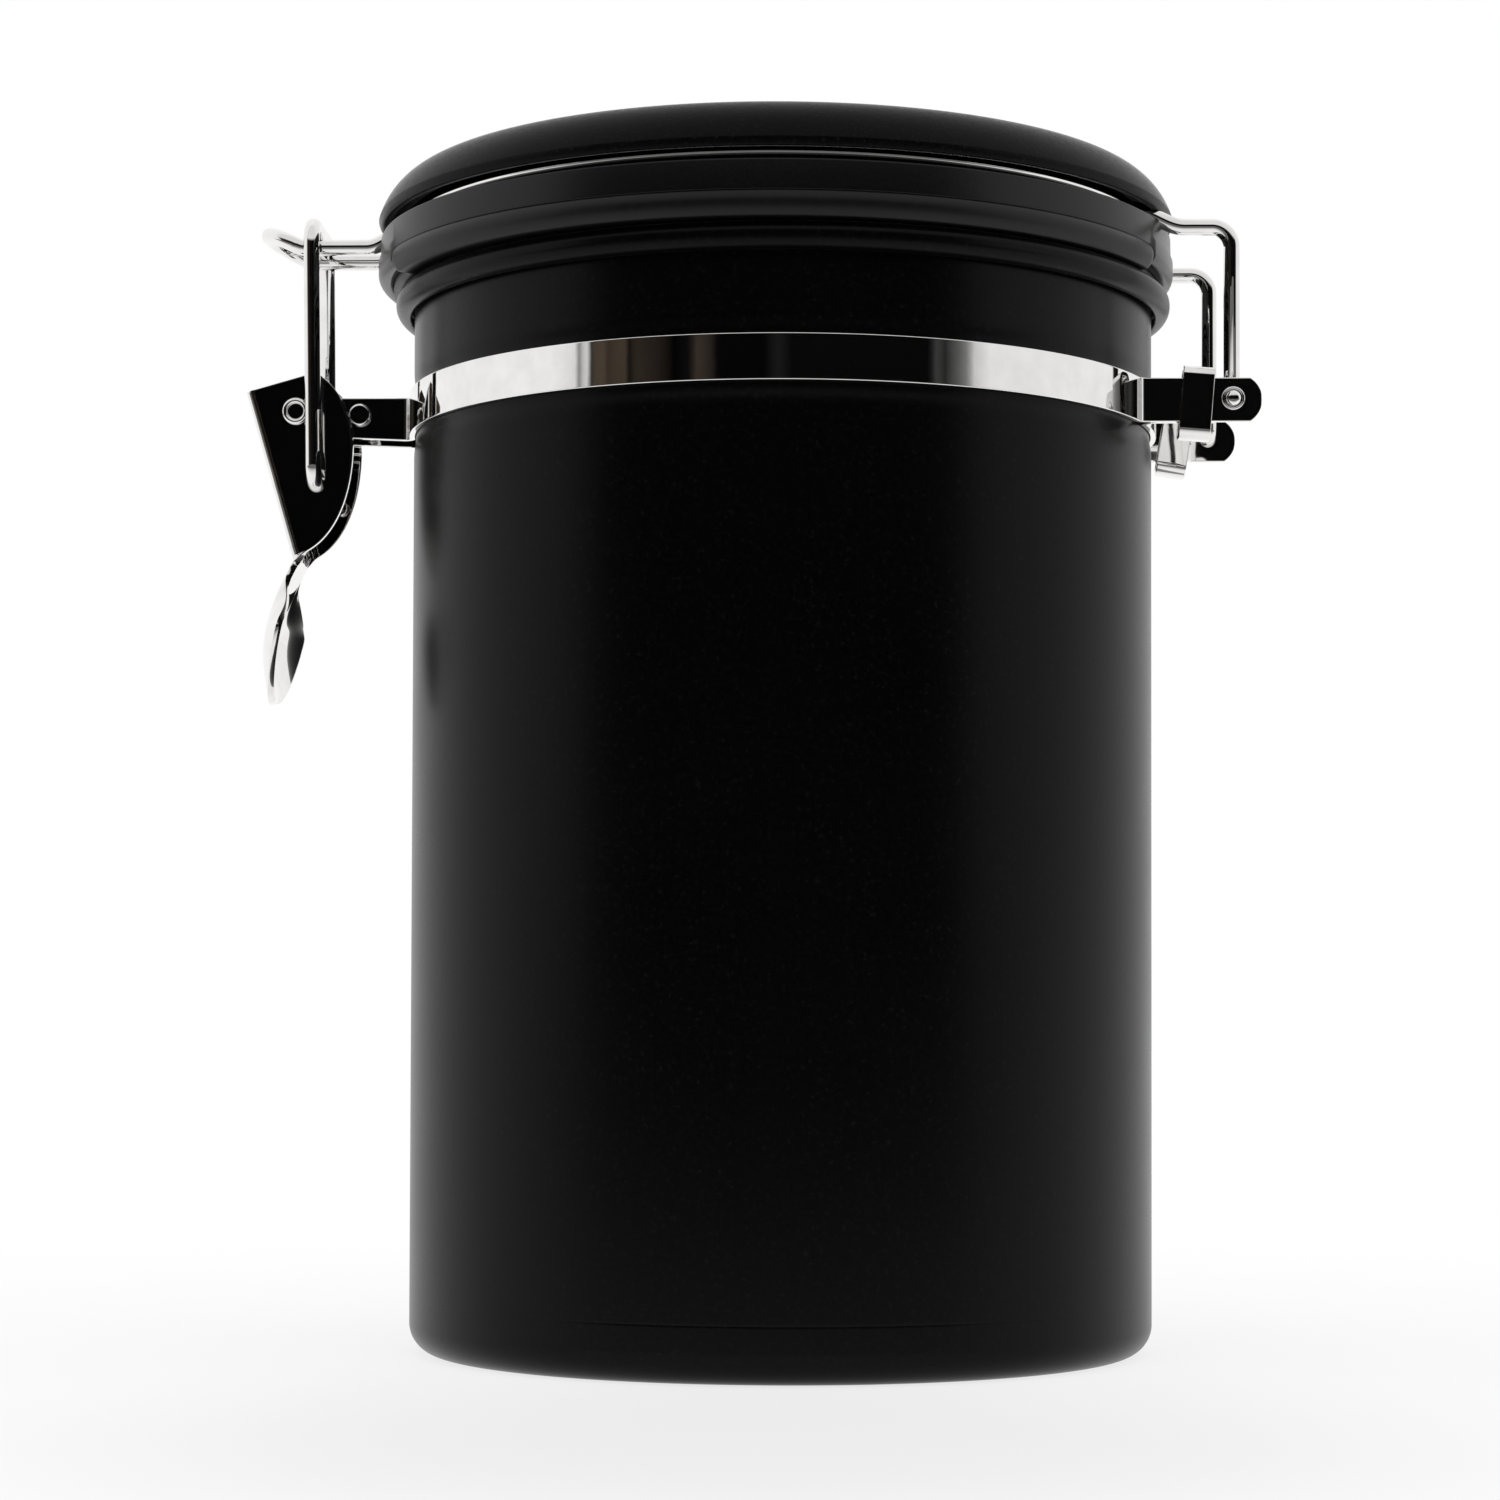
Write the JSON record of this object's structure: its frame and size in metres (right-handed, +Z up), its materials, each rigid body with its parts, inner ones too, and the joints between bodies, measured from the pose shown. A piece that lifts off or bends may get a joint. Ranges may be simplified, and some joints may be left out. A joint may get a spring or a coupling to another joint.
{
  "type": "coffee canister with valve",
  "caption": "Tall round storage canister with a domed lid on a wire hinge, a clamp band with a folded lever latch and wire bail, and a one-way vent valve in the lid.",
  "frame": {"origin": "centre of the base's underside, on the surface it stands on", "axes": "+Z up along the canister's axis, -X towards the latch, +X towards the lid hinge"},
  "size_m": [0.1639, 0.13, 0.1934],
  "materials": {
    "black_coat": "satin black powder coat on steel",
    "lid_coat": "fine-textured matt black coat",
    "polished_steel": "mirror-polished stainless steel",
    "skirt_plastic": "matt black moulded plastic",
    "gasket_rubber": "black silicone",
    "liner_plastic": "satin black moulded plastic",
    "valve_plastic": "matt black moulded plastic",
    "valve_rubber": "translucent white silicone",
    "filter_felt": "white filter felt"
  },
  "bodies": {
    "canister": {"body_tube": "black_coat", "base_cup": "black_coat", "clamp_band_near": "polished_steel", "clamp_band_far": "polished_steel", "rear_bridge": "polished_steel", "ear_clip_near": "polished_steel", "ear_clip_far": "polished_steel", "lug_rivet": "polished_steel", "lug_spacer": "polished_steel", "pivot_eyelet": "polished_steel", "pivot_spacer": "polished_steel"},
    "lever": {"latch_lever": "polished_steel"},
    "bail": {"latch_bail": "polished_steel"},
    "lid": {"lid_cover": "lid_coat", "lid_skirt": "skirt_plastic", "lid_liner": "liner_plastic", "lid_gasket": "gasket_rubber", "ring_wire": "polished_steel", "valve_body": "valve_plastic", "valve_retainer": "valve_plastic", "valve_filter": "filter_felt", "valve_cap": "valve_plastic"},
    "flap": {"valve_disc": "valve_rubber"}
  },
  "joints": [
    {"name": "lid_hinge", "type": "hinge", "parent": "canister", "child": "lid", "pos_m": [0.0716, 0, 0.1521], "axis": [0, 1, 0], "range_deg": [0, 110]},
    {"name": "lever_turn", "type": "hinge", "parent": "canister", "child": "lever", "pos_m": [-0.0794, 0, 0.153], "axis": [0, 1, 0], "range_deg": [0, 105]},
    {"name": "bail_swing", "type": "hinge", "parent": "lever", "child": "bail", "pos_m": [-0.07598, 0, 0.14098], "axis": [0, 1, 0], "range_deg": [-81.9, 0]},
    {"name": "valve_lift", "type": "slide", "parent": "lid", "child": "flap", "axis": [0, 0, 1], "range_m": [0, 0.0008], "stiffness_N_per_m": 30}
  ],
  "couplings": [
    {"joint": "bail_swing", "follows": "lever_turn", "ratio": -0.78}
  ]
}
